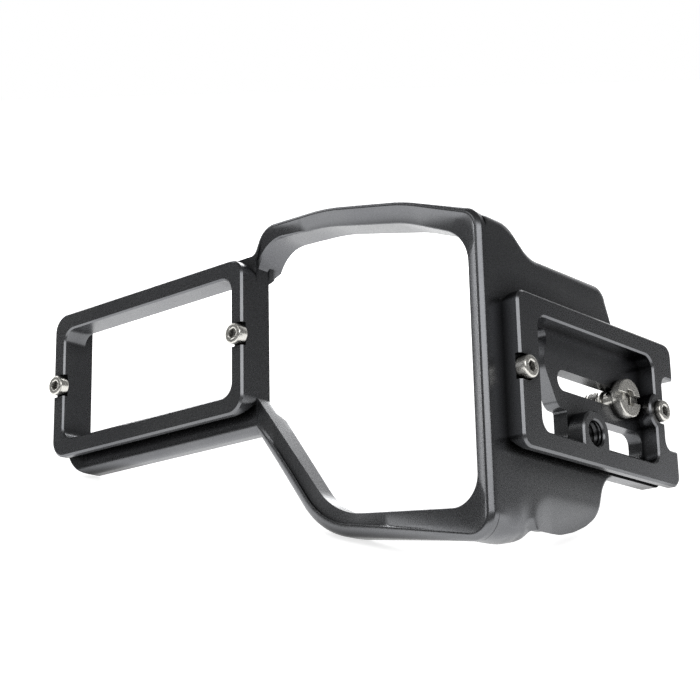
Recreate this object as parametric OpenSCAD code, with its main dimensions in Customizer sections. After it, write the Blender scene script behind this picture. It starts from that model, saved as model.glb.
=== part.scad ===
// Camera L-bracket: a base with a dovetail, a side arm with a second, wider dovetail, an open window between
// them for the battery door, four stop screws and a captive camera screw. All sizes are in millimetres.
// Origin: middle of the base dovetail's face. +X runs from the side arm to the free end of the base,
// +Y from the base dovetail's face up along the side arm, +Z across both dovetails.

/* [Base dovetail] */
// Width across the base dovetail's edges
base_w = 38; // [37:0.5:42]
// Length of the base dovetail
base_len = 68.5; // [61:0.5:80]
// Height of the base dovetail above the plate behind it
base_raise = 4.6; // [4.2:0.1:5.5]
// Thickness of the plate that the camera sits on
plate_t = 4; // [3.6:0.1:4.6]
// Plan radius of the base dovetail's corners
base_r = 3; // [2:0.5:4]
// How far the plate's free end stays behind the dovetail's end
plate_short = 2.2; // [1.5:0.1:3]
// How far the plate's long edges stay inside the dovetail's edges
plate_inset = 0.2; // [0:0.1:0.5]
// Straight land above the undercut, on both dovetails
dovetail_land = 2.2; // [1.8:0.1:2.6]
// Chamfer around the faces of both dovetails
face_chamfer = 0.55; // [0.4:0.05:1]

/* [Base pocket] */
// Solid border at the pocket's inner end
pocket_in = 8; // [7.5:0.5:9]
// Solid border at the pocket's free end
pocket_out = 9.5; // [9:0.25:10]
// Solid border along the pocket's long sides
pocket_rim = 4.9; // [4.5:0.1:5.2]
// Corner radius of the pocket
pocket_r = 3.2; // [2.5:0.1:3.8]
// Chamfer around the pocket, the windows and the boss
rim_chamfer = 0.45; // [0.3:0.05:0.7]
// Width of the notch between the two ears at the free end
ear_gap = 19; // [17:0.5:21]
// Depth of that notch
ear_depth = 5.5; // [5:0.25:5.75]
// Step left around the see-through windows in the pocket's floor
floor_step = 0.6; // [0.5:0.1:1]
// Upper edge of the two lower windows, below the dovetail's middle
floor_edge = 5.4; // [5.2:0.1:5.8]

/* [Tripod socket] */
// Major diameter of the quarter-inch tripod thread
tripod_d = 6.35; // [6.35:0.05:6.5]
// Distance of the tripod thread from the dovetail's inner end
tripod_in = 30.5; // [30:0.25:31]
// Distance of the tripod thread below the dovetail's middle
tripod_low = 10.9; // [10.6:0.1:11.2]
// Lead-in chamfer of the tripod thread
tripod_lead = 0.4; // [0.2:0.1:0.6]
// Radius of the boss around the tripod thread
boss_r = 5.6; // [5.4:0.1:5.8]

/* [Camera screw] */
// Width of the slot that the camera screw slides in
slot_w = 5.2; // [5.1:0.1:5.8]
// Height of the slot above the dovetail's middle
slot_up = 1.9; // [1.7:0.1:2.2]
// Distance of the screw's innermost position from the dovetail's inner end
slot_in = 24.25; // [23.75:0.25:26.25]
// Distance of the screw's outermost position from the dovetail's free end
slot_out = 17.5; // [17.5:0.25:18.25]
// Distance of the screw's stored position from its outermost one
screw_rest = 1; // [0.25:0.25:8.75]
// Diameter of the camera screw's head
head_d = 10; // [9:0.5:10]
// Height of the camera screw's head
head_h = 2.3; // [2:0.1:3]
// Diameter of the screw's plain neck
neck_d = 4.9; // [4.6:0.1:5]
// Major diameter of the screw's quarter-inch stud
stud_d = 6.35; // [6.35:0.05:6.5]
// Length of the threaded stud
stud_len = 5.2; // [4.5:0.1:6]
// Start of the stud above the camera seat
stud_lift = 0.4; // [0.3:0.1:0.8]
// Outer diameter of the washer under the head
washer_d = 9.4; // [8:0.2:9.6]
// Thickness of that washer
washer_t = 0.4; // [0.3:0.1:0.6]
// Width of the coin slot across the head
coin_w = 1.6; // [1.2:0.1:2]
// Depth of the coin slot
coin_depth = 1; // [0.8:0.1:1.2]
// Width across the flats of the socket in the head
socket_w = 4; // [3:0.5:5]
// Depth of the socket in the head
socket_depth = 1.5; // [1.2:0.1:1.7]
// Play between the washer, the head and the pocket's floor
washer_play = 0.05; // [0.03:0.01:0.1]
// Radial play of the neck in the washer
neck_play = 0.08; // [0.05:0.01:0.1]

/* [Stop screws] */
// Diameter of the stop screws' heads
stop_head_d = 5.5; // [5:0.1:5.7]
// Height of the heads
stop_head_h = 3; // [2.5:0.1:3.2]
// Thread diameter of the stop screws
stop_d = 3; // [2.5:0.1:3]
// Length below the head
stop_len = 6; // [5:0.25:6]
// Depth of the seat that a head is sunk into
stop_sunk = 1.5; // [1:0.1:1.8]
// Width of the notch around a head
stop_notch = 6.3; // [6:0.1:6.8]
// Width across the flats of the heads' sockets
stop_socket = 2.5; // [2:0.1:3]
// Depth of the heads' sockets
stop_socket_depth = 1.4; // [1:0.1:1.8]
// Distance of the base stop screws' centres from the dovetail's inner end
stop_in = 2.5; // [2.4:0.1:3]
// Distance of the outer base stop screw's centre from the dovetail's free end
stop_out = 7.4; // [7.2:0.1:7.6]
// Radius of the lug that carries the outer base stop screw
lug_r = 4.9; // [4.6:0.1:5]
// Radial play of the stop screws' threads in their holes
stop_play = 0.05; // [0.03:0.01:0.1]

/* [Side dovetail] */
// Width across the side dovetail's edges
side_w = 42; // [41:0.5:43]
// Length of the side dovetail
side_len = 75; // [70:0.5:90]
// Height of the side dovetail above the arm
side_raise = 5.4; // [5:0.1:6]
// Start of the side dovetail above the base dovetail's face
side_start = 79; // [76:0.5:84]
// Offset of the side dovetail's middle from the base dovetail's middle
side_up = 22.7; // [22:0.1:23.5]
// Distance from the side dovetail's face to the inner end of the base dovetail
corner_gap = 11; // [10.5:0.1:12]
// Distance from the side dovetail's face to the arm's inner face
arm_depth = 10.3; // [9.9:0.1:11]
// Plan radius of the side dovetail's corners
side_r = 5; // [4:0.5:6]
// Solid border along the long sides of the side window
side_rim = 5; // [4.6:0.1:5.6]
// Solid border at the end nearer the base
end_near = 4.1; // [4:0.1:4.6]
// Solid border at the far end
end_far = 4.5; // [4.2:0.1:5]
// Corner radius of the side window
window_r = 3.6; // [3:0.1:4.2]
// Depth that the upper rail keeps where the inner face is relieved
rail_depth = 7.5; // [7:0.1:8.5]
// Drop of the skirt below the side dovetail's lower edge
skirt_drop = 4.7; // [4:0.1:6]
// Rounding of the skirt's lower outer edge
skirt_round = 4.2; // [3:0.1:4.6]
// Plan radius of the skirt's far corner
skirt_r = 11; // [8:0.5:14]

/* [Bridges] */
// Distance of the corner's front edge from the side dovetail's face
corner_front = 3.6; // [3.2:0.1:4.4]
// Depth of the slope that falls from the frame's front to the battery window
frame_slope = 1.1; // [0.6:0.1:1.4]
// Rounding of the corner's edge between the side arm and the base
corner_round = 1.15; // [0.8:0.05:1.6]
// Flat rim beside that edge
corner_rim = 0.9; // [0.5:0.1:1.2]
// Height of the frame inside the corner, above the camera seat
rib_h = 0.8; // [0.4:0.1:0.9]
// Height of the upper bridge's crest above the side dovetail's middle
crest_up = 30.3; // [29.4:0.1:31]
// Width of the upper bridge
upper_w = 5.6; // [5:0.1:6.2]
// Depth of the upper bridge where it meets the side frame, from the side dovetail's face
upper_back = 13.4; // [12:0.1:14.5]
// Depth of the upper bridge at its foot on the base
upper_foot = 15.6; // [14.5:0.1:17]
// Edge rounding of the upper bridge
upper_round = 0.9; // [0.6:0.1:1.4]
// Width of the lower bridge
lower_w = 7; // [6:0.1:7.6]
// Depth of the lower bridge from the side dovetail's face
lower_back = 10.7; // [10.3:0.1:12]
// Edge rounding of the lower bridge
lower_round = 2.5; // [1.6:0.1:3]

/* [Base wings] */
// Height of the upper wing's shoulder at the corner, above the base dovetail's middle
shoulder_up = 37.9; // [37.4:0.1:38.4]
// Height of the upper wing along the base
wing_up = 31.3; // [29:0.1:32.5]
// Depth of the lower wing at the corner, below the base dovetail's middle
toe_low = 40.6; // [40:0.1:41.2]
// Depth of the lower wing along the base
wing_low = 35.9; // [35:0.1:36.8]
// Rounding of the wings' outer edges
wing_round = 2.6; // [1.6:0.1:3]
// Height of the lips that keep the camera from turning, above the seat
lip_h = 3.2; // [2:0.1:4]
// Thickness of those lips
lip_t = 2.6; // [2:0.1:3]
// Radius of the scoop in the lower wing
scoop_r = 16.4; // [15.5:0.1:18]
// Depth of that scoop in the wing's outer face
scoop_depth = 2.5; // [1.5:0.1:2.8]

/* [Hidden] */
$fn = 64;
black = "#2f3032";
steel = "#c9cacc";
over = 0.2;
arc_step = 7.5;
side_unit = side_w / 42;
base_unit = base_w / 38;
seat_y = base_raise + plate_t;
base_in = -base_len / 2;
base_out = base_len / 2;
side_x = base_in - corner_gap;
arm_x = side_x + arm_depth;
side_end = side_start + side_len;
side_mid = side_start + side_len / 2;
plate_half = base_w / 2 - plate_inset;
head_bottom = base_raise - washer_t - 2 * washer_play;
tripod_x = base_in + tripod_in;
slot_start = base_in + slot_in;
slot_end = base_out - slot_out;
screw_x = slot_end - screw_rest;
stop_in_x = base_in + stop_in;
stop_out_x = base_out - stop_out;
skirt_z = side_up - side_w / 2 - skirt_drop;
arm_top = side_up + side_w / 2 + 1.6 * side_unit;
joint_x = side_x + corner_front + wing_round + 0.05;
arc_parts = 10;
side_window_len = side_len - end_near - end_far;
side_window_mid = side_start + end_near + side_window_len / 2;
pocket_len = base_len - pocket_in - pocket_out;
pocket_mid = base_in + pocket_in + pocket_len / 2;
pocket_half = base_w / 2 - pocket_rim;

// Places a shape drawn as [x, z, depth] on the base: its depth runs along +Y
module on_base() {
    rotate([90, 0, 0])
        mirror([0, 0, 1])
            children();
}

// Places a shape drawn as [y, z, depth] on the side arm: its depth runs along +X
module on_side() {
    rotate([90, 0, 90])
        children();
}

function unit(v) = v / norm(v);

// Arc points that round corner p1 between its neighbours. Corners are [a, b, radius, share of the edge rounding]
function corner_points(p0, p1, p2) =
    let (
        c = [p1[0], p1[1]],
        a = [p0[0], p0[1]] - c,
        b = [p2[0], p2[1]] - c,
        half = acos(max(-1, min(1, unit(a) * unit(b)))) / 2,
        reach = min(p1[2] / tan(half), 0.48 * min(norm(a), norm(b))),
        r = reach * tan(half),
        m = c + unit(unit(a) + unit(b)) * r / sin(half),
        s = c + unit(a) * reach - m,
        e = c + unit(b) * reach - m,
        turn = 180 - 2 * half,
        way = sign(s[0] * e[1] - s[1] * e[0]),
        n = max(1, ceil(turn / arc_step)),
        from = atan2(s[1], s[0])
    )
    p1[2] == 0 ? [[c[0], c[1], p1[3]]]
    : [for (k = [0:n]) [m[0] + r * cos(from + way * turn * k / n), m[1] + r * sin(from + way * turn * k / n), p1[3]]];

// Closed outline with rounded corners, as [a, b, share] points
function outline(c) =
    [for (i = [0:len(c) - 1]) each corner_points(c[(i + len(c) - 1) % len(c)], c[i], c[(i + 1) % len(c)])];

function flat(points) = [for (p = points) [p[0], p[1]]];

// The outline moved inwards by d times each point's share; the outline runs anticlockwise
function inset(points, d) =
    let (n = len(points))
    [for (i = [0:n - 1])
        let (
            p = points[i],
            t = unit(flat([points[(i + 1) % n]])[0] - flat([points[(i + n - 1) % n]])[0])
        )
        [p[0] - t[1] * d * p[2], p[1] + t[0] * d * p[2], p[2]]];

// Twice the area of the triangle a, b, c; above zero where it runs anticlockwise
function turn_of(a, b, c) = (b[0] - a[0]) * (c[1] - a[1]) - (b[1] - a[1]) * (c[0] - a[0]);

function holds(a, b, c, p) = turn_of(a, b, p) >= 0 && turn_of(b, c, p) >= 0 && turn_of(c, a, p) >= 0;

// Whether corner i of the outline's remaining ids is an ear: a triangle with no other corner in it
function is_ear(points, ids, i) =
    let (
        n = len(ids),
        a = points[ids[(i + n - 1) % n]],
        b = points[ids[i]],
        c = points[ids[(i + 1) % n]]
    )
    turn_of(a, b, c) > 1e-9
        && len([for (k = [2:n - 2]) if (holds(a, b, c, points[ids[(i + k) % n]])) k]) == 0;

function next_ear(points, ids, i) = is_ear(points, ids, i) ? i : next_ear(points, ids, (i + 1) % len(ids));

// Triangles that fill an outline, cut off one ear at a time
function fill(points, ids, from = 0) =
    len(ids) == 3 ? [ids]
    : let (n = len(ids), i = next_ear(points, ids, from % n))
        concat([[ids[(i + n - 1) % n], ids[i], ids[(i + 1) % n]]],
            fill(points, [for (k = [0:n - 1]) if (k != i) ids[k]], i + 1));

// Solid skinned through rings with equal point counts; from and to are the axes that its end faces are drawn in
module skin(rings, from, to) {
    n = len(rings[0]);
    m = len(rings);
    ids = [for (i = [0:n - 1]) i];
    sides = [for (k = [0:m - 2]) for (i = ids) each [
        [k * n + i, k * n + (i + 1) % n, (k + 1) * n + (i + 1) % n],
        [k * n + i, (k + 1) * n + (i + 1) % n, (k + 1) * n + i]]];
    first = [for (f = fill([for (p = rings[0]) [p[from[0]], p[from[1]]]], ids)) [f[2], f[1], f[0]]];
    last = [for (f = fill([for (p = rings[m - 1]) [p[to[0]], p[to[1]]]], ids)) [for (i = f) (m - 1) * n + i]];
    polyhedron(points = [for (ring = rings) each ring], faces = concat(first, sides, last), convexity = 8);
}

// Rounded block, length along x and width along y, its face at z = 0 with a chamfer; a negative chamfer flares it
module rounded_block(length, width, depth, r, chamfer) {
    k = abs(chamfer);
    rotate([90, 0, 0])
        linear_extrude(height = width - 2 * r, center = true)
            polygon(block_section(length, depth, chamfer));
    rotate([90, 0, 90])
        linear_extrude(height = length - 2 * r, center = true)
            polygon(block_section(width, depth, chamfer));
    for (sx = [-1, 1])
        for (sy = [-1, 1])
            translate([sx * (length / 2 - r), sy * (width / 2 - r), 0]) {
                cylinder(h = k, r1 = r - chamfer, r2 = r);
                translate([0, 0, k])
                    cylinder(h = depth - k, r = r);
            }
}

// Section of a block that is chamfered or flared at its face
function block_section(width, depth, chamfer) = [
    [-width / 2 + chamfer, 0], [width / 2 - chamfer, 0], [width / 2, abs(chamfer)],
    [width / 2, depth], [-width / 2, depth], [-width / 2, abs(chamfer)]];

// Dovetail section as [depth, z]: a straight land, then a 45 degree undercut down to the root
function dovetail_section(width, raise) = [
    [0, -width / 2], [dovetail_land, -width / 2], [raise, -width / 2 + raise - dovetail_land],
    [raise, width / 2 - raise + dovetail_land], [dovetail_land, width / 2], [0, width / 2]];

// Cap screw with its seat at depth 0, head outwards and thread inwards
module stop_screw() {
    difference() {
        union() {
            translate([0, 0, -stop_head_h])
                cylinder(h = 0.3, d1 = stop_head_d - 0.6, d2 = stop_head_d);
            translate([0, 0, -stop_head_h + 0.3])
                cylinder(h = stop_head_h - 0.3, d = stop_head_d);
            cylinder(h = stop_len - 0.4, d = stop_d);
            translate([0, 0, stop_len - 0.4])
                cylinder(h = 0.4, d1 = stop_d, d2 = stop_d - 0.8);
        }
        translate([0, 0, -stop_head_h - over])
            cylinder(h = stop_socket_depth + over, d = stop_socket / cos(30), $fn = 6);
    }
}

// Hole for a stop screw, drilled from the dovetail's face
module stop_hole() {
    translate([0, 0, -over])
        cylinder(h = stop_sunk + stop_len + 0.2 + over, d = stop_d + 2 * stop_play);
}

// Outer frame of the side arm: dovetail, arm wall with its skirt, window and screw seats
module side_frame() {
    color(black)
        difference() {
            union() {
                side_rail();
                arm_wall();
            }
            translate([side_x - over, side_window_mid, side_up])
                on_side()
                    rounded_block(side_window_len, side_w - 2 * side_rim, arm_depth + 2 * over, window_r,
                        -rim_chamfer - over);
            translate([side_x + rail_depth, side_start + end_near, side_up])
                cube([arm_depth, side_window_len, side_w]);
            for (y = [side_start + end_near / 2, side_end - end_far / 2])
                translate([side_x, y, side_up])
                    on_side() {
                        stop_hole();
                        translate([-end_far, -stop_notch / 2, -over])
                            cube([2 * end_far, stop_notch, stop_sunk + over]);
                    }
        }
}

module side_rail() {
    translate([side_x, side_mid, side_up])
        intersection() {
            on_side()
                rounded_block(side_len, side_w, side_raise, side_r, face_chamfer);
            rotate([90, 0, 0])
                linear_extrude(height = side_len + 2, center = true)
                    polygon(dovetail_section(side_w, side_raise));
        }
}

module arm_wall() {
    intersection() {
        translate([0, side_end, 0])
            rotate([90, 0, 0])
                linear_extrude(height = side_len)
                    polygon(flat(outline([
                        [side_x + side_raise, arm_top, 0, 0],
                        [side_x + side_raise, skirt_z, skirt_round, 0],
                        [arm_x, skirt_z, 0.5, 0],
                        [arm_x, arm_top, 0, 0]])));
        translate([side_x, 0, 0])
            on_side()
                linear_extrude(height = arm_depth + 1)
                    polygon(flat(outline([
                        [side_start, skirt_z - 1, 0, 0],
                        [side_end, skirt_z, skirt_r, 0],
                        [side_end, arm_top, side_r, 0],
                        [side_start, arm_top, 0, 0]])));
    }
}

// Front of the battery window's frame: it falls from the arm's front to the corner's front
function frame_front(y) =
    side_x + corner_front
    + (side_raise - corner_front) * max(0, min(1, (y - seat_y) / (side_start - seat_y)));

// Points of corner k of an open path of [y, z, radius]: as many for each arc, so that two paths stay in step
function path_corner(c, k) =
    let (
        p = [c[k][0], c[k][1]],
        a = [c[k - 1][0], c[k - 1][1]] - p,
        b = [c[k + 1][0], c[k + 1][1]] - p,
        half = acos(max(-1, min(1, unit(a) * unit(b)))) / 2,
        reach = min(c[k][2] / tan(half), 0.48 * min(norm(a), norm(b))),
        r = reach * tan(half),
        m = p + unit(unit(a) + unit(b)) * r / sin(half),
        s = p + unit(a) * reach - m,
        e = p + unit(b) * reach - m,
        from = atan2(s[1], s[0]),
        step = sign(s[0] * e[1] - s[1] * e[0]) * (180 - 2 * half) / arc_parts
    )
    [for (j = [0:arc_parts]) m + r * [cos(from + step * j), sin(from + step * j)]];

function path(c) = [for (k = [0:len(c) - 1]) each (c[k][2] == 0 ? [[c[k][0], c[k][1]]] : path_corner(c, k))];

// The corners' own values, repeated for each point of the path
function along_path(c, values) = [for (k = [0:len(c) - 1]) each [for (j = [0:c[k][2] == 0 ? 0 : arc_parts]) values[k]]];

// Frame's section between an outer point o and a window point i: window wall, slope, rim, outer round of radius edge
function frame_section(o, i, edge, rim, depth) =
    let (
        w = norm(i - o),
        uv = concat([[w, frame_slope], [edge + rim, 0]],
            [for (k = [0:4]) [edge * (1 - sin(22.5 * k)), edge * (1 - cos(22.5 * k))]])
    )
    concat([[side_x + depth, i[0], i[1]]],
        [for (p = uv) let (yz = o + (i - o) * p[0] / w) [frame_front(yz[0]) + p[1], yz[0], yz[1]]],
        [[side_x + depth, o[0], o[1]]]);

// Side of the frame: outer and window corners in step, with the edge rounding, rim and depth at each corner
module frame_side(outer, inner, edge, rim, depth, from, to) {
    o = path(outer);
    i = path(inner);
    e = along_path(outer, edge);
    r = along_path(outer, rim);
    d = along_path(outer, depth);
    difference() {
        skin([for (k = [0:len(o) - 1]) frame_section(o[k], i[k], e[k], r[k], d[k])], from, to);
        translate([joint_x, 0, -toe_low - 5])
            cube([2 * upper_foot, seat_y, toe_low + shoulder_up + 10]);
    }
}

// Upper side of the battery window, from the side frame over the crest and down the corner to its middle
module upper_bridge() {
    u = side_unit;
    crest = side_up + crest_up;
    inside = crest - upper_w;
    rim = 0.2 * u;
    color(black)
        frame_side(
            [[side_start, arm_top + 0.3 * u, 0],
                [side_start - 4.2 * u, crest + 0.1 * u, 7 * u],
                [side_start - 25 * u, crest - 1.1 * u, 60 * u],
                [seat_y + 20 * u, crest - 6.5 * u, 60 * u],
                [base_raise, shoulder_up, 6.5 * u],
                [base_raise, 0, 0]],
            [[side_start, side_up + 16.2 * u, 0],
                [side_start - 1.7 * u, inside, 9 * u],
                [side_start - 25 * u, inside - 1.1 * u, 60 * u],
                [seat_y + 19.4 * u, inside - 6.5 * u, 40 * u],
                [seat_y + rib_h, inside - 14.8 * u, 10.3 * u],
                [seat_y + rib_h, 0, 0]],
            [upper_round, upper_round, upper_round, upper_round, corner_round, corner_round],
            [rim, rim, rim, rim, corner_rim, corner_rim],
            [upper_back, upper_back, upper_back, upper_foot, upper_foot, arm_depth], [2, 0], [0, 1]);
}

// Lower side of the battery window, from the middle of the corner along the bottom and up the slope to the side frame
module lower_bridge() {
    u = side_unit;
    bottom = -toe_low + 0.5 * u;
    inside = bottom + lower_w;
    rim = 0.3 * u;
    color(black)
        frame_side(
            [[base_raise, 0, 0],
                [base_raise, bottom, 6 * u],
                [side_start - 20.6 * u, bottom + 7.6 * u, 24 * u],
                [side_start, skirt_z - 0.6 * u, 0]],
            [[seat_y + rib_h, 0, 0],
                [seat_y + rib_h, inside + 0.8 * u, 7 * u],
                [side_start - 24.5 * u, inside + 6.8 * u, 20 * u],
                [side_start, side_up - 16.8 * u, 0]],
            [corner_round, corner_round, lower_round, lower_round],
            [corner_rim, corner_rim, rim, rim],
            [arm_depth, lower_back, lower_back, lower_back], [0, 1], [0, 2]);
}

// Outline of the base's corner and wings in [x, z], with a bay for the base dovetail
function wing_corners() = let (u = base_unit) [
    [side_x + corner_front, -toe_low, 4 * u, 1],
    [base_in + 3 * u, -toe_low, 8 * u, 1],
    [base_in + 9.8 * u, -wing_low + 1.5 * u, 5 * u, 1],
    [base_in + 27 * u, -wing_low, 11 * u, 1],
    [base_in + 37 * u, -wing_low + 6 * u, 7 * u, 1],
    [base_in + 39.4 * u, -plate_half, 3 * u, 0],
    [base_in, -plate_half, 0, 0],
    [base_in, plate_half, 0, 0],
    [base_in + 48.4 * u, plate_half, 0, 0],
    [base_in + 46.6 * u, wing_up, 5 * u, 1],
    [base_in + 13.4 * u, wing_up, 9 * u, 1],
    [base_in + 4.8 * u, shoulder_up, 10 * u, 1],
    [side_x + corner_front, shoulder_up, 4 * u, 1]];

// Base around the dovetail: rounded corner, upper and lower wing with lips, and the scoop
module base_wing() {
    steps = 4;
    points = outline(wing_corners());
    front = [for (k = [0:steps]) let (ring = inset(points, wing_round * (1 - sin(90 * k / steps))))
        [for (p = ring) [p[0], base_raise + wing_round * p[2] * (1 - cos(90 * k / steps)), p[1]]]];
    back = [[for (p = points) [p[0], seat_y + lip_h + 1, p[1]]]];
    color(black)
        difference() {
            skin(concat(front, back), [0, 2], [0, 2]);
            translate([side_x - 5, seat_y + lip_h, -toe_low - 5])
                cube([base_len + corner_gap + 10, 4, toe_low + shoulder_up + 10]);
            on_base()
                translate([0, 0, seat_y])
                    linear_extrude(height = lip_h + 3)
                        difference() {
                            translate([side_x - 5, -toe_low - 5])
                                square([base_len + corner_gap + 10, toe_low + shoulder_up + 10]);
                            lips(points);
                        }
            translate([0, base_raise + scoop_depth - scoop_r, -wing_low + 0.6 * base_unit]) {
                translate([base_in + 15.2 * base_unit, 0, 0])
                    rotate([0, 90, 0])
                        cylinder(h = base_len, r = scoop_r);
                translate([base_in + 15.2 * base_unit, 0, 0])
                    sphere(r = scoop_r);
            }
            translate([joint_x - 20, 0, -toe_low - 5])
                cube([20, 2 * seat_y, toe_low + shoulder_up + 10]);
        }
}

// Plan of the lips: along the wings' edges, clear of the bridges' feet and of the wings' free ends
module lips(points) {
    difference() {
        union() {
            translate([side_x + upper_foot + 0.6, wing_up - 4 * base_unit])
                square([base_in + 44 * base_unit - side_x - upper_foot, 20 * base_unit]);
            translate([side_x + lower_back + 0.6, -toe_low - 5])
                square([base_in + 36 * base_unit - side_x - lower_back, toe_low + 5 - plate_half - 3 * base_unit]);
        }
        polygon(flat(inset(points, lip_t)));
    }
}

// Base dovetail with the plate behind it, the pocket, its windows, the screw slot, boss and screw seats
module base_dovetail() {
    color(black)
        difference() {
            union() {
                base_rail();
                on_base()
                    translate([0, 0, base_raise])
                        linear_extrude(height = plate_t)
                            polygon(flat(outline([
                                [base_in, -plate_half, 0, 0],
                                [base_out - plate_short, -plate_half, base_r, 0],
                                [base_out - plate_short, plate_half, base_r, 0],
                                [base_in, plate_half, 0, 0]])));
            }
            on_base() {
                difference() {
                    translate([pocket_mid, 0, -over])
                        rounded_block(pocket_len, 2 * pocket_half, base_raise + over, pocket_r, -rim_chamfer - over);
                    tripod_boss();
                    stop_lug();
                }
                floor_windows();
                screw_slot();
                translate([base_out - ear_depth + 10, 0, -over])
                    rounded_block(20, ear_gap, base_raise + over, 2.5 * base_unit, -rim_chamfer - over);
                translate([tripod_x, -tripod_low, -over])
                    cylinder(h = seat_y + 2 * over, d = tripod_d);
                translate([tripod_x, -tripod_low, -over])
                    cylinder(h = tripod_lead + over, d1 = tripod_d + 2 * tripod_lead + 2 * over, d2 = tripod_d);
                stop_seat(stop_in_x, -1);
                stop_seat(stop_out_x, 1);
            }
        }
}

module base_rail() {
    intersection() {
        on_base()
            rounded_block(base_len, base_w, base_raise, base_r, face_chamfer);
        rotate([90, 0, 90])
            linear_extrude(height = base_len + 2, center = true)
                polygon(dovetail_section(base_w, base_raise));
    }
}

// Boss of the tripod thread, joined to the pocket's lower border
module tripod_boss() {
    translate([tripod_x, -tripod_low, 0]) {
        cylinder(h = rim_chamfer, r1 = boss_r - rim_chamfer, r2 = boss_r);
        translate([0, 0, rim_chamfer])
            cylinder(h = base_raise, r = boss_r);
        translate([0, -boss_r, 0])
            rotate([90, 0, 0])
                linear_extrude(height = 2 * boss_r, center = true)
                    polygon(block_section(2 * boss_r, base_raise + 1, rim_chamfer));
    }
}

// Lug of the outer stop screw, joined to the pocket's end border
module stop_lug() {
    translate([stop_out_x, 0, 0]) {
        cylinder(h = rim_chamfer, r1 = lug_r - rim_chamfer, r2 = lug_r);
        translate([0, 0, rim_chamfer])
            cylinder(h = base_raise, r = lug_r);
    }
}

// Openings through the pocket's floor: one around the curved web by the side arm, one below the slot
module floor_windows() {
    u = base_unit;
    left = base_in + pocket_in + floor_step;
    right = base_out - pocket_out - floor_step;
    top = pocket_half - floor_step;
    boss_left = tripod_x - boss_r;
    boss_right = tripod_x + boss_r;
    translate([0, 0, base_raise - over])
        linear_extrude(height = plate_t + 2 * over) {
            polygon(flat(outline([
                [left, -top, 3 * u, 0],
                [boss_left, -top, 2.5 * u, 0],
                [boss_left, -floor_edge, 0.6 * u, 0],
                [slot_start - 2.9 * u, -floor_edge + 0.2 * u, 3 * u, 0],
                [slot_start - 8.3 * u, slot_up + 3.1 * u, 7 * u, 0],
                [slot_start - 5.7 * u, top, 2 * u, 0],
                [left, top, 3 * u, 0]])));
            polygon(flat(outline([
                [boss_right + u, -top + 0.7 * u, 3 * u, 0],
                [right, -top + 0.7 * u, 3 * u, 0],
                [right, -floor_edge, 3 * u, 0],
                [boss_right + u, -floor_edge, 3 * u, 0]])));
        }
}

// Slot for the captive camera screw
module screw_slot() {
    translate([0, slot_up, base_raise - over]) {
        for (x = [slot_start, slot_end])
            translate([x, 0, 0])
                cylinder(h = plate_t + 2 * over, d = slot_w);
        translate([slot_start, -slot_w / 2, 0])
            cube([slot_end - slot_start, slot_w, plate_t + 2 * over]);
    }
}

// Sunk seat and hole of a base stop screw, open towards the end on the given side
module stop_seat(x, side) {
    translate([x, 0, 0]) {
        stop_hole();
        translate([0, 0, -over])
            cylinder(h = stop_sunk + over, d = stop_notch);
        translate([side < 0 ? -stop_out : 0, -stop_notch / 2, -over])
            cube([stop_out, stop_notch, stop_sunk + over]);
    }
}

module side_stop_screw_near() {
    color(steel)
        translate([side_x + stop_sunk, side_start + end_near / 2, side_up])
            on_side()
                stop_screw();
}

module side_stop_screw_far() {
    color(steel)
        translate([side_x + stop_sunk, side_end - end_far / 2, side_up])
            on_side()
                stop_screw();
}

module base_stop_screw_inner() {
    color(steel)
        translate([stop_in_x, stop_sunk, 0])
            on_base()
                stop_screw();
}

module base_stop_screw_outer() {
    color(steel)
        translate([stop_out_x, stop_sunk, 0])
            on_base()
                stop_screw();
}

// Captive quarter-inch screw: slotted head in the pocket, plain neck in the slot, stud above the camera seat
module camera_screw() {
    top = head_bottom - head_h;
    stud_start = seat_y + stud_lift;
    color(steel)
        translate([screw_x, 0, slot_up])
            on_base()
                difference() {
                    union() {
                        translate([0, 0, top])
                            cylinder(h = 0.4, d1 = head_d - 0.8, d2 = head_d);
                        translate([0, 0, top + 0.4])
                            cylinder(h = head_h - 0.4, d = head_d);
                        translate([0, 0, head_bottom - over])
                            cylinder(h = stud_start - head_bottom + 2 * over, d = neck_d);
                        translate([0, 0, stud_start])
                            cylinder(h = stud_len - 0.7, d = stud_d);
                        translate([0, 0, stud_start + stud_len - 0.7])
                            cylinder(h = 0.7, d1 = stud_d, d2 = stud_d - 1.4);
                    }
                    translate([-head_d, -coin_w / 2, top - over])
                        cube([2 * head_d, coin_w, coin_depth + over]);
                    translate([0, 0, top - over])
                        cylinder(h = socket_depth + over, d = socket_w / cos(30), $fn = 6);
                }
}

// Thin washer that slides on the pocket's floor under the camera screw's head
module camera_screw_washer() {
    color(steel)
        translate([screw_x, 0, slot_up])
            on_base()
                translate([0, 0, head_bottom + washer_play])
                    difference() {
                        cylinder(h = washer_t, d = washer_d);
                        translate([0, 0, -over])
                            cylinder(h = washer_t + 2 * over, d = neck_d + 2 * neck_play);
                    }
}

side_frame();
upper_bridge();
lower_bridge();
base_wing();
base_dovetail();
side_stop_screw_near();
side_stop_screw_far();
base_stop_screw_inner();
base_stop_screw_outer();
camera_screw();
camera_screw_washer();
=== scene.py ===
"""Camera L-bracket: satin black anodised aluminium with bright stainless screws, on a white table.

The side frame, the upper wing of the base and the base dovetail are merged copies of their CAD nodes with clean
shading. The frame of the battery window, the lower wing, the screws and the tripod hole's thread are surfaces of two
parameters, worked out here. The washer is its CAD node. The meshes are in metres in the CAD frame: +X to the free end
of the base, +Y up along the side arm, +Z across both dovetails. The functions that shape them work in millimetres.
"""

import bmesh
import bpy
import numpy as np
from mathutils import Matrix, Vector


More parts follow.
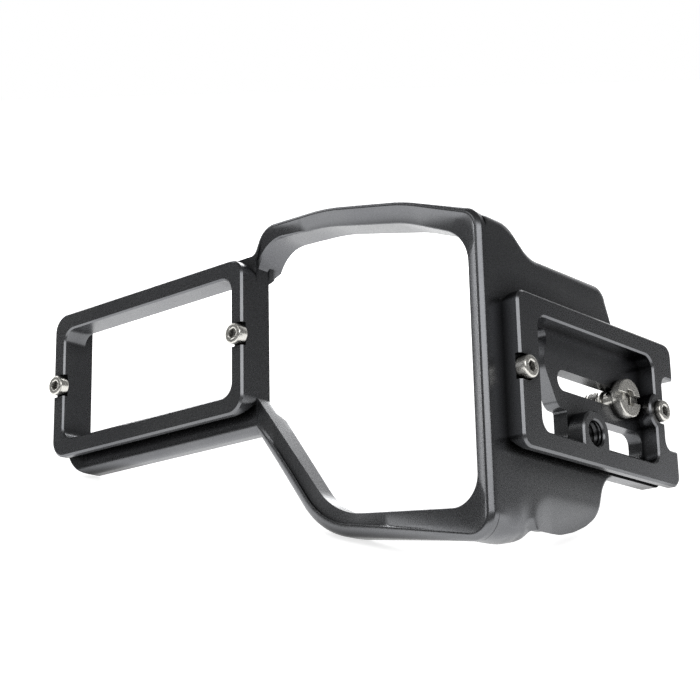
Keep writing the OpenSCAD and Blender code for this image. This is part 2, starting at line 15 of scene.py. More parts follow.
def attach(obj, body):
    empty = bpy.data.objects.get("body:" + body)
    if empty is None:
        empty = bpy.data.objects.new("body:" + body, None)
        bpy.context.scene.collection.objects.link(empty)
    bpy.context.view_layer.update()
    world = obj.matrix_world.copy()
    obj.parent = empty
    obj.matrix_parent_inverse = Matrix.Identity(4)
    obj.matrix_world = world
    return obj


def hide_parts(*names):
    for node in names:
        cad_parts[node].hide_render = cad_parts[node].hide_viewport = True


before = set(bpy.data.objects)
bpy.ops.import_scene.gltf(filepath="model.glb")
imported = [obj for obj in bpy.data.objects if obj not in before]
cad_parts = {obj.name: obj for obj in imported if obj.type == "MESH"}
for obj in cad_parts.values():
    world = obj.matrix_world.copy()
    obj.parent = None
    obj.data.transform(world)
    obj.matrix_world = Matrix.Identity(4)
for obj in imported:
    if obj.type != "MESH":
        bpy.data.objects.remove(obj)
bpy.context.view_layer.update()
MM = 0.001

# Places from the CAD model, in millimetres
SIDE_FACE_X = -45.25      # face of the side dovetail
SIDE_STOP_Z = 22.7
SIDE_STOPS_Y = {"side_stop_screw_near": 81.05, "side_stop_screw_far": 151.75}
BASE_STOPS_X = {"base_stop_screw_inner": -31.75, "base_stop_screw_outer": 26.85}
STOP_PROUD = 1.5          # a stop screw's head above the dovetail's face
SCREW_AXIS = (15.75, 1.9)
TRIPOD_AXIS = (-3.75, -10.9)
BASE_FRONT_Y = 4.6        # outer face of the base beside its dovetail
SEAT_Y = 8.6              # plate that the camera rests on
ARM_Y = 79.0              # end of the side arm towards the base
CORNER_X = -39.0          # start of the base's wings behind the window's frame


def linear(hex_colour):
    """sRGB hex to linear RGBA."""
    c = np.array([int(hex_colour[i:i + 2], 16) for i in (1, 3, 5)]) / 255
    c = np.where(c <= 0.04045, c / 12.92, ((c + 0.055) / 1.055) ** 2.4)
    return (*c.tolist(), 1.0)


def add(tree, kind, settings=None, **links):
    """Adds a node. Settings are attributes, or sockets where no attribute has that name. Links are written
    socket=(node, output), with _ for a blank, or i and a number for a socket's place."""
    node = tree.nodes.new(kind)
    for key, value in (settings or {}).items():
        if isinstance(key, str) and hasattr(node, key) and key not in node.inputs:
            setattr(node, key, value)
        else:
            node.inputs[key].default_value = value
    for key, (source, output) in links.items():
        socket = int(key[1:]) if key[0] == "i" and key[1:].isdigit() else key.replace("_", " ")
        tree.links.new(source.outputs[output], node.inputs[socket])
    return node


def new_material(name):
    """Empty node material."""
    material = bpy.data.materials.new(name)
    material.use_nodes = True
    material.node_tree.nodes.clear()
    return material, material.node_tree


def anodised_aluminium():
    """Black anodised aluminium, bead blasted and dyed: a satin dark metal with a very fine grain."""
    material, tree = new_material("black_anodised_aluminium")
    place = add(tree, "ShaderNodeTexCoord")
    # Blasting grit leaves pits of about 0.1 mm; drawn at 0.35 mm so that they show in the render
    grit = add(tree, "ShaderNodeTexNoise", {"Scale": 1 / (0.35 * MM), "Detail": 3.0, "Roughness": 0.6},
               Vector=(place, "Object"))
    # The dye and the oxide vary a little over a few centimetres
    cloud = add(tree, "ShaderNodeTexNoise", {"Scale": 1 / (28 * MM), "Detail": 3.0}, Vector=(place, "Object"))
    colour = add(tree, "ShaderNodeValToRGB", None, Fac=(cloud, "Fac"))
    colour.color_ramp.elements[0].color = linear("#747578")
    colour.color_ramp.elements[1].color = linear("#7e7f81")
    colour.color_ramp.elements[0].position = 0.35
    colour.color_ramp.elements[1].position = 0.68
    # Painted shade: ambient occlusion darkens the colour in inner corners and recesses over a few millimetres, as they
    # look in the photograph
    corner = add(tree, "ShaderNodeAmbientOcclusion", {"samples": 8, "Distance": 7 * MM}, Color=(colour, "Color"))
    depth = add(tree, "ShaderNodeMix", {"data_type": "RGBA", "blend_type": "MULTIPLY", 0: 1.0},
                i6=(corner, "Color"), i7=(corner, "AO"))
    gloss = add(tree, "ShaderNodeMapRange", {"From Min": 0.3, "From Max": 0.7, "To Min": 0.24, "To Max": 0.32},
                Value=(grit, "Fac"))
    bump = add(tree, "ShaderNodeBump", {"Strength": 0.10, "Distance": 0.02 * MM}, Height=(grit, "Fac"))
    metal = add(tree, "ShaderNodeBsdfPrincipled", {"Metallic": 1.0},
                Base_Color=(depth, 2), Roughness=(gloss, "Result"), Normal=(bump, "Normal"))
    add(tree, "ShaderNodeOutputMaterial", None, Surface=(metal, "BSDF"))
    return material


def stainless_steel():
    """Turned stainless steel: bright, with a fine grain from the lathe and a faint warm tone."""
    material, tree = new_material("turned_stainless_steel")
    place = add(tree, "ShaderNodeTexCoord")
    # Turning usually leaves marks of about 0.1 mm; drawn at 0.4 mm so that they show in the render
    grain = add(tree, "ShaderNodeTexNoise", {"Scale": 1 / (0.4 * MM), "Detail": 4.0, "Roughness": 0.6},
                Vector=(place, "Object"))
    colour = add(tree, "ShaderNodeValToRGB", None, Fac=(grain, "Fac"))
    colour.color_ramp.elements[0].color = linear("#d2d0ca")
    colour.color_ramp.elements[1].color = linear("#f2f0ea")
    # Painted shade: ambient occlusion darkens the colour in sockets, slots and thread roots, as they look in the
    # photograph
    painted_recess_shade = add(tree, "ShaderNodeAmbientOcclusion", {"samples": 8, "Distance": 1.6 * MM}, Color=(colour, "Color"))
    depth = add(tree, "ShaderNodeMix", {"data_type": "RGBA", "blend_type": "MULTIPLY", 0: 1.0},
                i6=(painted_recess_shade, "Color"), i7=(painted_recess_shade, "AO"))
    gloss = add(tree, "ShaderNodeMapRange", {"From Min": 0.3, "From Max": 0.7, "To Min": 0.18, "To Max": 0.3},
                Value=(grain, "Fac"))
    bump = add(tree, "ShaderNodeBump", {"Strength": 0.12, "Distance": 0.02 * MM}, Height=(grain, "Fac"))
    metal = add(tree, "ShaderNodeBsdfPrincipled", {"Metallic": 0.85},
                Base_Color=(depth, 2), Roughness=(gloss, "Result"), Normal=(bump, "Normal"))
    add(tree, "ShaderNodeOutputMaterial", None, Surface=(metal, "BSDF"))
    return material


ANODISED = anodised_aluminium()
STAINLESS = stainless_steel()


def finish_shell(name, mesh, nodes, sharp, material, body="bracket"):
    """Object for a mesh, shaded smooth up to the angle sharp, in degrees, that rides on a body and replaces nodes."""
    mesh.shade_smooth()
    mesh.set_sharp_from_angle(angle=np.radians(sharp))
    mesh.materials.append(material)
    shell = bpy.data.objects.new(name, mesh)
    bpy.context.scene.collection.objects.link(shell)
    even = shell.modifiers.new("even_faces", "WEIGHTED_NORMAL")
    even.keep_sharp = True
    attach(shell, body)
    if nodes:
        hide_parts(*nodes)
    return shell


def merged(mesh, doubles, slivers):
    """Editable copy of a mesh with points closer than doubles joined and edges shorter than slivers taken out."""
    work = bmesh.new()
    work.from_mesh(mesh)
    bmesh.ops.remove_doubles(work, verts=work.verts, dist=doubles * MM)
    bmesh.ops.dissolve_degenerate(work, edges=work.edges, dist=slivers * MM)
    return work


def mesh_points(mesh):
    """Points of a mesh as one array."""
    points = np.empty(len(mesh.vertices) * 3, np.float32)
    mesh.vertices.foreach_get("co", points)
    return points.reshape(-1, 3)


def section_copy(node, sharp, above=None):
    """Copy of a CAD section with its doubles merged; above drops what lies below that z."""
    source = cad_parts[node].data
    corners = np.empty(len(source.loops), np.int32)
    source.loops.foreach_get("vertex_index", corners)
    mesh = bpy.data.meshes.new(node + "_shell")
    mesh.from_pydata(mesh_points(source), [], corners.reshape(-1, 3).tolist())
    work = merged(mesh, doubles=0.002, slivers=0.001)
    if above is not None:
        everything = work.verts[:] + work.edges[:] + work.faces[:]
        cut = bmesh.ops.bisect_plane(work, geom=everything, plane_co=(0, 0, above * MM), plane_no=(0, 0, 1),
                                     clear_inner=True)
        bmesh.ops.holes_fill(work, edges=[e for e in cut["geom_cut"] if isinstance(e, bmesh.types.BMEdge)])
    work.to_mesh(mesh)
    work.free()
    return finish_shell(node + "_shell", mesh, [node], sharp, ANODISED)


def grid_quads(rows, columns):
    """Numbers of a grid's points, and the quads between its rows, closed around."""
    index = np.arange(rows * columns).reshape(rows, columns)
    beside = np.roll(index, -1, axis=1)
    quads = np.stack([index[:-1], beside[:-1], beside[1:], index[1:]], axis=-1).reshape(-1, 4)
    return index, quads.tolist()


def closed_shell(name, points, faces, nodes, sharp, material, body):
    """Piece from a grid of points, with its seams and poles merged and its faces turned outwards."""
    mesh = bpy.data.meshes.new(name)
    mesh.from_pydata(points.reshape(-1, 3), [], faces)
    work = merged(mesh, doubles=0.0005, slivers=0.0005)
    bmesh.ops.recalc_face_normals(work, faces=work.faces)
    work.to_mesh(mesh)
    work.free()
    return finish_shell(name, mesh, nodes, sharp, material, body)


def sweep(name, x, y, z, nodes, sharp, material, body="bracket"):
    """Closed tube through rows of points; each row is a closed profile, and the two ends are capped."""
    points = np.stack([x, y, z], axis=-1) * MM
    index, quads = grid_quads(*y.shape)
    ends = [index[0, ::-1].tolist(), index[-1].tolist()]
    return closed_shell(name, points, quads + ends, nodes, sharp, material, body)


# Outline of the battery window's frame in [y, z, radius], from the side arm over the crest, down the corner of the
# base and back along the bottom; the corners of the two lists belong together
RING_OUTER = np.array([
    (83, 45.35, 0), (79.9, 45.9, 2.5), (78.4, 48.8, 1), (76.4, 52.8, 7), (63, 52.26, 60), (54, 51.9, 60),
    (28.6, 46.5, 60), (4.6, 37.96, 6.5), (4.6, -41.3, 6), (58.4, -32.5, 24), (79, -3.6, 0)])
RING_INNER = np.array([
    (83, 45, 0), (79.5, 37.2, 0.3), (79.5, 38.2, 0.2), (79.3, 48.4, 9.8), (64.5, 47.83, 60), (56, 47.5, 60),
    (28, 40.9, 40), (9.45, 32.6, 10.3), (9.45, -32.6, 7), (54.5, -27.6, 20), (79, 6.3, 0)])
# The section at each corner: radius of the outer edge, whether that edge is a bowed bevel, width of the flat rim,
# depth of the slope at the window, bevel at the window, back from the side face, sunk wall, and whether the section's
# edges stand square to the outlines or, at the two ends, follow the line between them
RING_EDGE = np.array([0.1, 0.9, 0.9, 0.9, 0.9, 0.9, 0.9, 1.1, 1.2, 2.6, 2.6])
RING_FLAT = np.array([0, 0, 0, 0, 0, 0, 0, 1, 1, 0, 0])
RING_RIM = np.array([0.02, 0.2, 0.2, 0.2, 0.2, 0.2, 0.2, 0.45, 0.4, 0.3, 0.3])
RING_SLOPE = np.array([0.02, 0.25, 0.3, 0.6, 0.95, 1.75, 1.7, 1.35, 1.35, 1.7, 0.3])
RING_LIP = np.array([0.02, 0.4, 0.45, 0.45, 0.3, 0.15, 0.15, 0.15, 0.15, 0.15, 0.15])
RING_BACK = np.array([8.4, 13.0, 13.3, 13.5, 13.8, 14.1, 14.9, 12.0, 10.7, 10.7, 10.7])
RING_SUNK = np.array([0, 0, 0, 0, 0, 0, 0, 0.6, 0.6, 0, 0])
RING_SQUARE = np.array([0, 1, 1, 1, 1, 1, 1, 1, 1, 1, 0])
RING_SET_BACK = 3.6       # front of the frame behind the side dovetail's face, at the base
RING_LEAN = 1.8           # how much further behind it lies at the side arm
RING_HIDDEN = 0.06        # how far below the side arm's face it runs on inside the arm
RING_STEP = 2.66          # depth of the step to the sunk wall
RING_EASE = 0.4           # eased edges of the back
RING_BOW = 0.34           # how far the bevel bows out
RING_BEVEL_Y = 76.0       # beyond this the back is bevelled away towards the side arm,
RING_BEVEL_Z = 42.35      # from this height down,
RING_BEVEL_FALL = 1.15    # by this much per millimetre
EDGE_STEPS, ARC_STEPS, LINE_STEPS = 9, 18, 14
LEAST_REACH = 0.3         # shortest length from a corner to the start of its arc
MOST_ROOM = 0.96          # share of a line that the arcs at its two ends may take


def rounded_path(corners):
    """Polyline [y, z] whose corner k turns on an arc of its radius r, tangent at r tan(turn / 2) from the corner, or
    less where the lines are short; with it the station along the path, which is k at corner k."""
    point, radius = corners[:, :2], corners[:, 2]
    way = np.diff(point, axis=0)
    length = np.linalg.norm(way, axis=1)
    way /= length[:, None]
    turn = np.arctan2(way[:-1, 0] * way[1:, 1] - way[:-1, 1] * way[1:, 0], (way[:-1] * way[1:]).sum(1))
    reach = np.zeros(len(corners))
    reach[1:-1] = np.maximum(radius[1:-1] * np.tan(np.abs(turn) / 2), LEAST_REACH)
    room = np.minimum(1, MOST_ROOM * length / np.maximum(reach[:-1] + reach[1:], 1e-6))
    reach[1:-1] *= np.minimum(room[:-1], room[1:])
    share = np.linspace(0, 1, LINE_STEPS, endpoint=False)[1:, None]
    pieces, station = [point[:1]], [np.zeros(1)]
    for k in range(len(corners) - 1):
        start, end = point[k] + way[k] * reach[k], point[k + 1] - way[k] * reach[k + 1]
        pieces.append(start + (end - start) * share)
        station.append(k + share[:, 0])
        if k < len(turn):
            r = reach[k + 1] / max(np.tan(np.abs(turn[k]) / 2), 1e-6)
            side = np.sign(turn[k]) * np.array([-way[k, 1], way[k, 0]])
            angle = np.linspace(0, np.abs(turn[k]), ARC_STEPS)[:, None]
            pieces.append(end + side * r * (1 - np.cos(angle)) + way[k] * r * np.sin(angle))
            station.append(np.full(ARC_STEPS, k + 1.0))
    pieces.append(point[-1:])
    station.append(np.array([len(corners) - 1.0]))
    return np.concatenate(pieces), np.concatenate(station)


def inward(path, across, share):
    """Unit normals of a path in [y, z] on the side of across, blended with across itself where share is below 1."""
    way = np.gradient(path, axis=0)
    normal = np.stack([-way[:, 1], way[:, 0]], axis=1)
    normal /= np.maximum(np.linalg.norm(normal, axis=1), 1e-9)[:, None]
    normal *= np.sign((normal * across).sum(1))[:, None]
    mixed = across + (normal - across) * share
    return mixed / np.linalg.norm(mixed, axis=1)[:, None]


def window_ring():
    """Frame of the battery window: a section carried along two outlines. Its points have a distance u from the outer
    outline or from the window, along the outlines' normals, and a depth v behind the front. From the back they follow
    the outer wall, a step, a quarter round r (1 - sin a, 1 - cos a) or a bevel r (t, 1 - t) that bows by r b t (1 - t),
    a flat rim, a slope over the middle of the outlines, a lip and the window's wall."""
    outer, station = rounded_path(RING_OUTER)
    inner, _ = rounded_path(RING_INNER)
    edge, flat, rim, slope, lip, back, sunk, square = (
        np.interp(station, np.arange(len(values)), values)[:, None] for values in (
            RING_EDGE, RING_FLAT, RING_RIM, RING_SLOPE, RING_LIP, RING_BACK, RING_SUNK, RING_SQUARE))
    across = inner - outer
    width = np.linalg.norm(across, axis=1)[:, None]
    across /= width
    lip = np.minimum(lip, width / 4)
    bevel = np.where(inner[:, :1] > RING_BEVEL_Y, np.clip(RING_BEVEL_Z - inner[:, 1:], 0, None), 0)
    deep = np.maximum(back - RING_BEVEL_FALL * bevel, RING_BACK[0]) - RING_SET_BACK
    angle = np.linspace(np.pi / 2, 0, EDGE_STEPS)[None, :]
    along = np.linspace(0, 1, EDGE_STEPS)[None, :]
    bow = RING_BOW * along * (1 - along)
    round_u = edge * ((1 - np.sin(angle)) * (1 - flat) + (along - bow) * flat)
    round_v = edge * ((1 - np.cos(angle)) * (1 - flat) + (1 - along - bow) * flat)
    one, none = np.ones_like(width), np.zeros_like(width)
    from_outer = (
        (sunk + RING_EASE, deep), (sunk, deep - RING_EASE), (sunk, deep / 2 + 1.6), (sunk, (RING_STEP + 0.02) * one),
        (none, RING_STEP * one), (round_u, round_v),
        (edge + rim - 0.08, none), (edge + rim, 0.015 * one), (edge + rim + 0.12, 0.05 * one))
    from_window = (
        (lip * 1.3, slope - 0.02), (lip, slope), (none, slope + lip), (none, deep / 2 + 1), (none, deep - RING_EASE),
        (RING_EASE * one, deep))
    outer_u, outer_v = (np.hstack(column) for column in zip(*from_outer))
    window_u, window_v = (np.hstack(column) for column in zip(*from_window))
    outer_way, window_way = inward(outer, across, square), inward(inner, across, square)
    y, z = (
        np.hstack([
            outer[:, k:k + 1] + outer_way[:, k:k + 1] * outer_u,
            (outer[:, k:k + 1] + inner[:, k:k + 1]) / 2,
            inner[:, k:k + 1] - window_way[:, k:k + 1] * window_u])
        for k in (0, 1))
    lean = RING_LEAN * np.clip((y - SEAT_Y) / (ARM_Y - SEAT_Y), 0, 1) + RING_HIDDEN * (y > ARM_Y + 0.02)
    x = SIDE_FACE_X + RING_SET_BACK + lean + np.hstack([outer_v, slope * 0.6, window_v])
    return sweep("window_ring", x, y, z, ["upper_bridge", "lower_bridge"], 40, ANODISED)


# Lower edge of the base's wing in [x, z], from the corner past the toe, the thumb scoop and the free end up to the
# dovetail, and the top of this piece
WING_EDGE = np.array([
    (-46, -40.24), (-39, -40.24), (-35.3, -40.2), (-31.3, -40), (-27.6, -39.25), (-26.3, -38), (-25.3, -36.5),
    (-24, -36.7), (-15.7, -36.5), (-13.8, -36.4), (-8.4, -35.05), (-3.3, -33), (0.4, -30.7), (2.5, -28.35),
    (3.35, -26.35), (4.05, -24.25), (4.85, -22.4), (6.65, -20.25), (8.85, -19.15), (9.8, -19.05)])
WING_TOP = -19.0
WING_SMOOTH = 17                            # points over which the edge is smoothed
CORNER_ROUND = 6.0                          # the window frame's own round at the corner
TOE_SOFT, TOE_SOFT_REACH = 1.0, 9.0         # soft fall of the toe, and how far in from the edge it starts
TOE_ROUND, TOE_ROUND_REACH = 5.0, 3.2       # the same of the toe's round
TOE_START_LENGTH = 5.0                      # way from the corner over which its round becomes the toe's
TOE_END, TOE_END_LENGTH = -30.0, 7.0        # where the toe's round fades out
EDGE_ROUND, EDGE_ROUND_REACH = 0.5, 0.7
SCOOP_BORDER_Z = -27.1                      # straight border of the thumb scoop,
SCOOP_CORNER, SCOOP_RADIUS = (-17.0, -37.3), 10.2    # and its round border on the left
SCOOP_SLOPE, SCOOP_EASE = 0.105, 1.2
CREASE_EASE = 0.15                          # softens the line where the toe's round meets the scoop
RIM_THICK, RIM_TOE, RIM_WIDE = 0.3, 0.7, 1.6    # thin rim along the edge, thicker at the toe
LIP_START, LIP_END = -34.2, 1.7             # lip on the camera's side of the edge
LIP_FOOT, LIP_HIGH, LIP_THICK = 0.05, 3.15, 1.5


def smooth_step(value):
    """3 t^2 - 2 t^3 between 0 and 1."""
    t = np.clip(value, 0, 1)
    return t * t * (3 - 2 * t)


def round_over(away, reach):
    """1 - sqrt(1 - t^2) with t = 1 - away / reach: a quarter round that ends at this reach."""
    return 1 - np.sqrt(np.clip(1 - np.clip(1 - away / reach, 0, 1) ** 2, 0, 1))


def lower_wing():
    """Lower wing of the base: at each x a closed profile in [y, z]. Its front falls back by the larger of two depths,
    (a + b + sqrt((a - b)^2 + c^2) - c) / 2: the rounds of the toe and of the edge, by the distance to the edge, and
    the thumb scoop, k (sqrt(s^2 + w^2) - w) at the length s inside its border. Then come the rim, the lip and the
    seat."""
    step = np.r_[0, np.linalg.norm(np.diff(WING_EDGE, axis=0), axis=1).cumsum()]
    fine = np.linspace(0, step[-1], 500)
    even = np.ones(WING_SMOOTH) / WING_SMOOTH
    edge_x, edge_z = (
        np.convolve(np.pad(np.interp(fine, step, WING_EDGE[:, k]), WING_SMOOTH // 2, "edge"), even, "valid")
        for k in (0, 1))
    x = np.r_[CORNER_X, edge_x[edge_x > CORNER_X + 0.1][::3]][:, None]
    low = np.interp(x[:, 0], edge_x, edge_z)[:, None]
    z = low + (WING_TOP - low) * np.linspace(1, 0, 60)[None, :] ** 1.5
    away = np.sqrt((x[..., None] - edge_x) ** 2 + (z[..., None] - edge_z) ** 2).min(-1)
    corner = CORNER_ROUND * round_over(away, CORNER_ROUND)
    soft = TOE_SOFT * np.clip(1 - away / TOE_SOFT_REACH, 0, 1) ** 2 + TOE_ROUND * round_over(away, TOE_ROUND_REACH)
    at_toe = 1 - smooth_step((x - TOE_END) / TOE_END_LENGTH)
    toe = (corner + (soft - corner) * smooth_step((x - CORNER_X) / TOE_START_LENGTH)) * at_toe
    rounds = np.maximum(toe, EDGE_ROUND * round_over(away, EDGE_ROUND_REACH))
    from_corner = np.hypot(x - SCOOP_CORNER[0], z - SCOOP_CORNER[1])
    inside = np.where(x > SCOOP_CORNER[0], SCOOP_BORDER_Z - z, SCOOP_RADIUS - from_corner)
    scoop = SCOOP_SLOPE * (np.hypot(np.clip(inside, 0, None), SCOOP_EASE) - SCOOP_EASE)
    front = BASE_FRONT_Y + (rounds + scoop + np.hypot(rounds - scoop, CREASE_EASE) - CREASE_EASE) / 2
    rim = front[:, -1:] + RIM_THICK + RIM_TOE * at_toe
    wall = np.minimum(low + RIM_WIDE, WING_TOP - 0.05)
    with_lip = smooth_step((x - LIP_START) / 0.5) * (1 - smooth_step((x - LIP_END) / 0.6))
    lip = SEAT_Y + LIP_FOOT + LIP_HIGH * with_lip
    lip_foot = np.minimum(wall + LIP_THICK, WING_TOP - 0.02)
    seat, top = np.full_like(low, SEAT_Y), np.full_like(low, WING_TOP)
    y = np.hstack([front, rim - 0.25, rim, rim, rim - 0.2, lip - 0.2, lip, lip, seat, seat])
    z = np.hstack([
        z, low + 0.02, low + 0.06, wall - 0.03, wall, wall, np.minimum(wall + 0.2, WING_TOP - 0.04),
        lip_foot, lip_foot, top])
    return sweep("lower_wing", np.broadcast_to(x, y.shape), y, z, [], 40, ANODISED)


AROUND = 96
TURN = np.linspace(0, 2 * np.pi, AROUND, endpoint=False)[None, :]


def lathe(name, rows, place, axis, nodes, sharp, material, body="bracket"):
    """Turned piece from rows of (height, radius or radii around) along an axis, X or Y, from a place: the points are
    (h, r cos a, r sin a). The ends close at r = 0, or the last row closes on the first."""
    height = np.array([row[0] for row in rows])[:, None]
    radius = np.vstack([np.broadcast_to(row[1], (1, AROUND)) for row in rows])
    along = place[axis] + np.broadcast_to(height, radius.shape)
    first = place[1 - axis] + radius * np.cos(TURN)
    second = place[2] + radius * np.sin(TURN)
    points = np.stack([along, first, second] if axis == 0 else [first, along, second], axis=-1) * MM
    _, quads = grid_quads(*radius.shape)
    return closed_shell(name, points, quads, nodes, sharp, material, body)


def hexagon(inner, turned):
    """Radius of a hexagon with this inner radius, a / cos(angle to the middle of its side)."""
    return inner / np.cos((TURN + turned) % (np.pi / 3) - np.pi / 6)


def stop_screw(name, place, axis):
    """M3 cap screw from the bottom of its hexagon socket over the rounded head to the end of the shank."""
    socket = hexagon(1.25, 0.2)
    head_round = [(0.5 - 0.5 * np.cos(b), 2.25 + 0.5 * np.sin(b)) for b in np.linspace(0, np.pi / 2, 6)]
    rows = [
        (1.75, 0.0), (1.5, socket * 0.97), (1.47, socket), (0.22, socket), (0.16, socket * 1.01),
        (0.0, np.maximum(socket, 1.5) + 0.12), (0.0, 1.75), *head_round,
        (0.56, 2.75), (2.8, 2.75), (2.9, 2.72), (3.0, 2.6), (3.0, 1.6),
        (3.1, 1.5), (8.5, 1.5), (9.0, 1.15), (9.0, 0.0)]
    return lathe(name + "_turned", rows, place, axis, [name], 38, STAINLESS)


QUARTER_INCH_PITCH = 1.27


def thread(height, depth, start, end):
    """Depth of a V thread: a triangle wave of height / pitch + angle / 2 pi that runs out at both ends."""
    pitch = QUARTER_INCH_PITCH
    wave = 2 * np.abs((height / pitch + TURN / (2 * np.pi)) % 1 - 0.5)
    return depth * wave * np.clip((height - start) / pitch, 0, 1) * np.clip((end - height) / pitch, 0, 1)


STUD_START, STUD_END, STUD_RADIUS, STUD_THREAD = 9.3, 13.7, 3.15, 0.75
# Radius, half of the coin slot and inner radius of the hexagon socket at four heights of the cheeks
CHEEK_RINGS = ((4.55, 1.12, 2.16), (4.82, 1.0, 2.06), (5.0, 0.95, 2.0), (5.0, 0.95, 2.0))
CHEEK_Y = np.array([1.8, 1.88, 2.15, 3.1])


def camera_screw():
    """Captive quarter-inch screw. Its disc, neck and threaded stud are one turned surface, with the thread's depth
    taken off the stud's radius. The two cheeks beside the coin slot are arcs of the head cut by the slot and by the
    hexagon socket, carried up from the disc with a bevel."""
    x, z = SCREW_AXIS
    socket = hexagon(2.0, np.pi / 6)
    stud = [
        (h, STUD_RADIUS - thread(h, STUD_THREAD, STUD_START, STUD_END)) for h in np.linspace(STUD_START, STUD_END, 72)]
    rows = [
        (4.05, 0.0), (3.9, socket * 0.97), (3.86, socket), (3.1, socket), (3.06, socket * 1.02), (3.06, 4.6),
        (3.06, 5.0), (3.9, 5.0), (4.02, 4.95), (4.1, 4.8), (4.1, 2.6),
        (4.2, 2.45), (8.75, 2.45), (8.8, 2.6), (8.9, 3.0), (9.1, STUD_RADIUS), *stud,
        (13.8, 3.1), (14.2, 2.6), (14.2, 0.0)]
    place = np.array([x, 0.0, z])
    lathe("camera_screw_turned", rows, place, 1, ["camera_screw"], 38, STAINLESS, "screw")
    flat = np.stack([cheek_outline(*ring) for ring in CHEEK_RINGS])
    y = CHEEK_Y[:, None] + np.zeros(flat.shape[:2])
    for side, cheek in ((1, "camera_screw_cheek_upper"), (-1, "camera_screw_cheek_lower")):
        sweep(cheek, x + flat[..., 0], y, z + side * flat[..., 1], [], 30, STAINLESS, "screw")


def cheek_outline(radius, half_slot, hexagon_inner):
    """Arc of the head above the coin slot, then back along the slot and round the hexagon socket's upper corners."""
    start = np.arcsin(half_slot / radius)
    angle = np.linspace(start, np.pi - start, 40)
    corner = hexagon_inner * 2 / np.sqrt(3)
    meet = corner - half_slot / np.sqrt(3)
    notch = np.array([(-meet, half_slot), (-corner / 2, hexagon_inner), (corner / 2, hexagon_inner), (meet, half_slot)])
    return np.vstack([np.stack([radius * np.cos(angle), radius * np.sin(angle)], axis=1), notch])


HOLE_START, HOLE_END, HOLE_RADIUS, HOLE_THREAD, SLEEVE_RADIUS = 0.75, 8.2, 3.165, 0.6, 3.3


def tripod_thread():
    """Thread in the tripod hole: a sleeve whose inner radius is the hole's less the thread's depth."""
    inner = [
        (h, HOLE_RADIUS - thread(h, HOLE_THREAD, HOLE_START, HOLE_END)) for h in np.linspace(HOLE_START, HOLE_END, 130)]
    rows = [(HOLE_START, SLEEVE_RADIUS), *inner, (HOLE_END, SLEEVE_RADIUS), (HOLE_START, SLEEVE_RADIUS)]
    place = np.array([TRIPOD_AXIS[0], 0.0, TRIPOD_AXIS[1]])
    return lathe("tripod_thread", rows, place, 1, [], 50, ANODISED)


window_ring()
section_copy("side_frame", 33)
section_copy("base_wing", 33, WING_TOP)
lower_wing()
section_copy("base_dovetail", 33)
for stop, stop_y in SIDE_STOPS_Y.items():
    stop_screw(stop, np.array([SIDE_FACE_X - STOP_PROUD, stop_y, SIDE_STOP_Z]), 0)
for stop, stop_x in BASE_STOPS_X.items():
    stop_screw(stop, np.array([stop_x, -STOP_PROUD, 0.0]), 1)
camera_screw()
tripod_thread()
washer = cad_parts["camera_screw_washer"].data
washer.materials.clear()
washer.materials.append(STAINLESS)

# Camera of the photograph, worked out from the edges of the two dovetails, and the table under the three points that
# the bracket rests on
LOOK = Vector((0.72713, 0.62425, 0.28565)).normalized()
CAMERA_UP = Vector((-0.2019, -0.2033, 0.9581))
CAMERA_PLACE = (-0.350864, -0.220033, -0.109835)
CAMERA_LENS, CAMERA_SENSOR = 89.08, 36
FLOOR_NORMAL = Vector((-0.3431, -0.2886, 0.8939)).normalized()
FLOOR_REACH = 4.0
MIDDLE = Vector((-10, 45, 5))    # middle of the object, in millimetres, at which the lamps point


def floor():
    """Pale table, seen from above only. It glows a little, more so further out, so that it is white to the edge."""
    normal = np.array(FLOOR_NORMAL)
    lowest = min(float((mesh_points(node.data) @ normal).min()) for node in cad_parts.values())
    along = FLOOR_NORMAL.orthogonal().normalized()
    across = FLOOR_NORMAL.cross(along)
    corners = [
        FLOOR_NORMAL * lowest + along * a * FLOOR_REACH + across * b * FLOOR_REACH
        for a, b in ((-1, -1), (1, -1), (1, 1), (-1, 1))]
    mesh = bpy.data.meshes.new("floor")
    mesh.from_pydata([tuple(c) for c in corners], [], [(0, 1, 2, 3)])
    table = bpy.data.objects.new("floor", mesh)
    bpy.context.scene.collection.objects.link(table)
    material, tree = new_material("white_table")
    side = add(tree, "ShaderNodeNewGeometry")
    matte = add(tree, "ShaderNodeBsdfDiffuse", {"Color": (0.8, 0.8, 0.8, 1)})
    place = add(tree, "ShaderNodeTexCoord")
    distance = add(tree, "ShaderNodeVectorMath", {"operation": "LENGTH"}, i0=(place, "Object"))
    glow = add(tree, "ShaderNodeMapRange", {"From Min": 0.15, "From Max": 0.6, "To Min": 0.78, "To Max": 1.0},
               Value=(distance, "Value"))
    light = add(tree, "ShaderNodeEmission", {"Color": (1, 1, 1, 1)}, Strength=(glow, "Result"))
    lit = add(tree, "ShaderNodeAddShader", None, i0=(matte, 0), i1=(light, 0))
    clear = add(tree, "ShaderNodeBsdfTransparent")
    shown = add(tree, "ShaderNodeMixShader", None, i0=(side, "Backfacing"), i1=(lit, 0), i2=(clear, 0))
    add(tree, "ShaderNodeOutputMaterial", None, Surface=(shown, 0))
    mesh.materials.append(material)


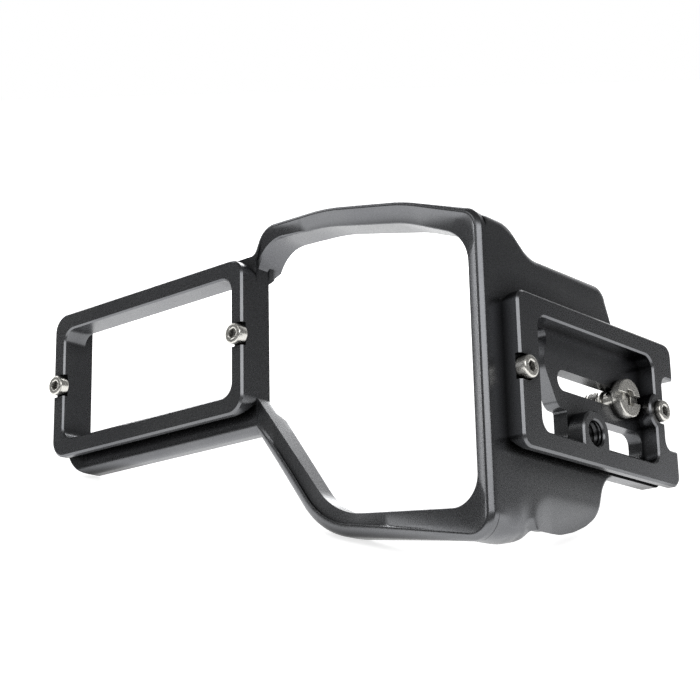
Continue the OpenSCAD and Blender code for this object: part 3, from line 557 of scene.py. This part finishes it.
def studio():
    """White backdrop for the eye everywhere; reflections see it behind the object, fading to a dim room at the sides.
    The fade is a smooth step on the cosine between a direction and the way from the camera to the object."""
    world = bpy.data.worlds.new("studio")
    bpy.context.scene.world = world
    world.use_nodes = True
    tree = world.node_tree
    tree.nodes.clear()
    path = add(tree, "ShaderNodeLightPath")
    place = add(tree, "ShaderNodeTexCoord")
    toward = add(tree, "ShaderNodeVectorMath", {"operation": "DOT_PRODUCT", 1: LOOK}, i0=(place, "Generated"))
    backdrop = add(tree, "ShaderNodeMapRange", {
        "interpolation_type": "SMOOTHSTEP", "From Min": 0.45, "From Max": 0.85, "To Min": 0.13, "To Max": 1.0},
        Value=(toward, "Value"))
    seen = add(tree, "ShaderNodeMath", {"operation": "MAXIMUM"},
               i0=(path, "Is Camera Ray"), i1=(path, "Is Transmission Ray"))
    level = add(tree, "ShaderNodeMix", {"data_type": "FLOAT", 3: 1.0}, Factor=(seen, 0), i2=(backdrop, "Result"))
    back = add(tree, "ShaderNodeBackground", {"Color": (1, 1, 1, 1)}, Strength=(level, 0))
    add(tree, "ShaderNodeOutputWorld", None, Surface=(back, 0))


def lamp(name, way, distance, size, radiance):
    """Soft rectangular lamp in a direction from the object, with the given brightness of its face."""
    data = bpy.data.lights.new(name, "AREA")
    data.shape = "RECTANGLE"
    data.size, data.size_y = size[0] * MM, size[1] * MM
    data.energy = radiance * np.pi * data.size * data.size_y
    light = bpy.data.objects.new(name, data)
    way = Vector(way).normalized()
    light.location = (MIDDLE + way * distance) * MM
    light.rotation_euler = (-way).to_track_quat("-Z", "Y").to_euler()
    light.visible_camera = False
    bpy.context.scene.collection.objects.link(light)


def camera():
    """Camera at the photograph's place, looking along LOOK."""
    right = LOOK.cross(CAMERA_UP).normalized()
    up = right.cross(LOOK)
    data = bpy.data.cameras.new("photo_camera")
    data.lens, data.sensor_width = CAMERA_LENS, CAMERA_SENSOR
    data.clip_start, data.clip_end = 0.01, 50
    eye = bpy.data.objects.new("photo_camera", data)
    eye.matrix_world = Matrix((
        (right.x, up.x, -LOOK.x, CAMERA_PLACE[0]),
        (right.y, up.y, -LOOK.y, CAMERA_PLACE[1]),
        (right.z, up.z, -LOOK.z, CAMERA_PLACE[2]),
        (0, 0, 0, 1)))
    bpy.context.scene.collection.objects.link(eye)
    bpy.context.scene.camera = eye


floor()
studio()
lamp("overhead_light", (0.42, 0.45, 0.75), 700, (620, 420), 3.5)
lamp("front_light", (-0.62, -0.72, 0.33), 900, (1000, 420), 2.2)
lamp("left_light", (-0.40, 0.66, 0.64), 700, (260, 260), 1.6)
lamp("side_light", (-0.82, 0.20, 0.55), 700, (240, 240), 1.3)
lamp("back_light", (-0.08, 0.96, 0.24), 700, (300, 420), 2.0)
camera()
bpy.context.scene.view_settings.view_transform = "Standard"
